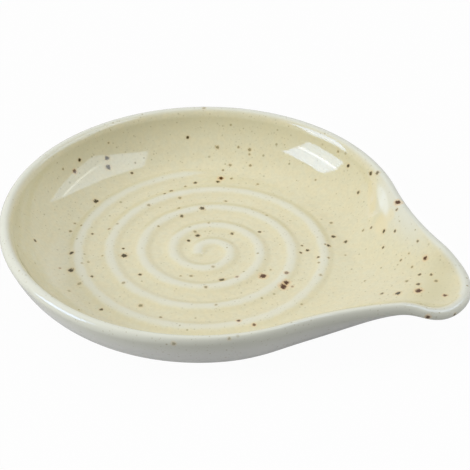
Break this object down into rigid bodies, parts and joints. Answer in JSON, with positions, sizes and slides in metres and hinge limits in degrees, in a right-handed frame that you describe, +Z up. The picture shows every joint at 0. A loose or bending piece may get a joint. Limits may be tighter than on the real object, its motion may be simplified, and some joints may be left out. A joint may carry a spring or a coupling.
{
  "type": "spoon rest",
  "caption": "Shallow round stoneware dish with a spiral ridge on its floor and a short broad spout whose dipped lip carries the handle of a spoon.",
  "frame": {"origin": "on the table, midway along and across the dish", "axes": "+X from the bowl towards the spout, +Z up"},
  "size_m": [0.1582, 0.1318, 0.0212],
  "materials": {
    "glaze": "gloss"
  },
  "bodies": {
    "root": {"dish": "glaze"}
  },
  "joints": []
}
